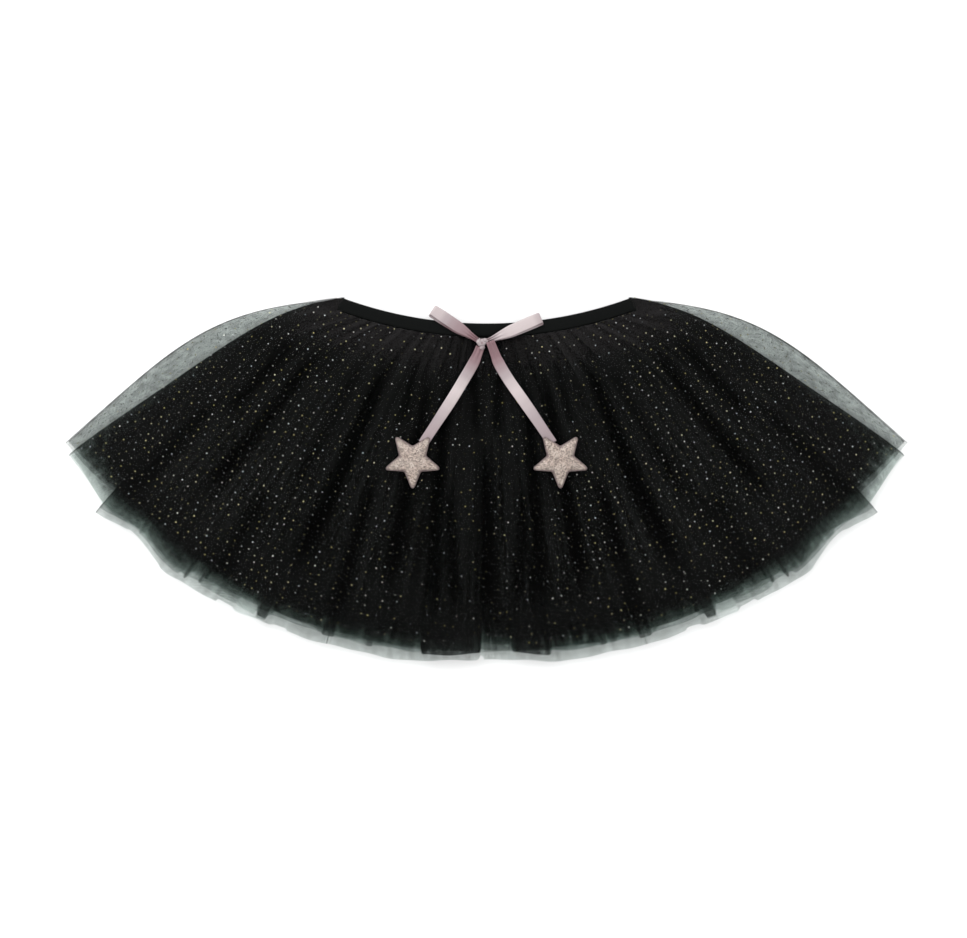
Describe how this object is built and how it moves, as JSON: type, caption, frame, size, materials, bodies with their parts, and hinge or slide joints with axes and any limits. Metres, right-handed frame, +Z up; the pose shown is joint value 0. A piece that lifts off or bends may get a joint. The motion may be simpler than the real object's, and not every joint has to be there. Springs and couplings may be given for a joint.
{
  "type": "tutu skirt",
  "caption": "Child's dance and dressing-up tutu skirt laid flat: gathered net tubes on an elastic waistband, with a satin ribbon bow whose tails end in padded stars.",
  "frame": {"origin": "middle of the laid-out skirt's box, on the surface it lies on", "axes": "+X to the right across the front, +Y from the hem to the waist, +Z up out of the front"},
  "size_m": [0.7542, 0.3266, 0.0238],
  "materials": {
    "glitter_net": "black net with gold glitter dots",
    "plain_net": "plain black net",
    "waistband": "matt black jersey over elastic",
    "satin_ribbon": "dusty pink satin",
    "star_cloth": "champagne glitter cloth, padded"
  },
  "bodies": {
    "root": {"glitter_front": "glitter_net", "glitter_back": "glitter_net", "middle_net_front": "plain_net", "middle_net_back": "plain_net", "under_net_front": "plain_net", "under_net_back": "plain_net", "waistband_front": "waistband", "waistband_back": "waistband", "bow_knot": "satin_ribbon", "bow_loop_left": "satin_ribbon", "bow_loop_right": "satin_ribbon", "ribbon_tail_left": "satin_ribbon", "ribbon_tail_right": "satin_ribbon", "star_left": "star_cloth", "star_right": "star_cloth"}
  },
  "joints": []
}
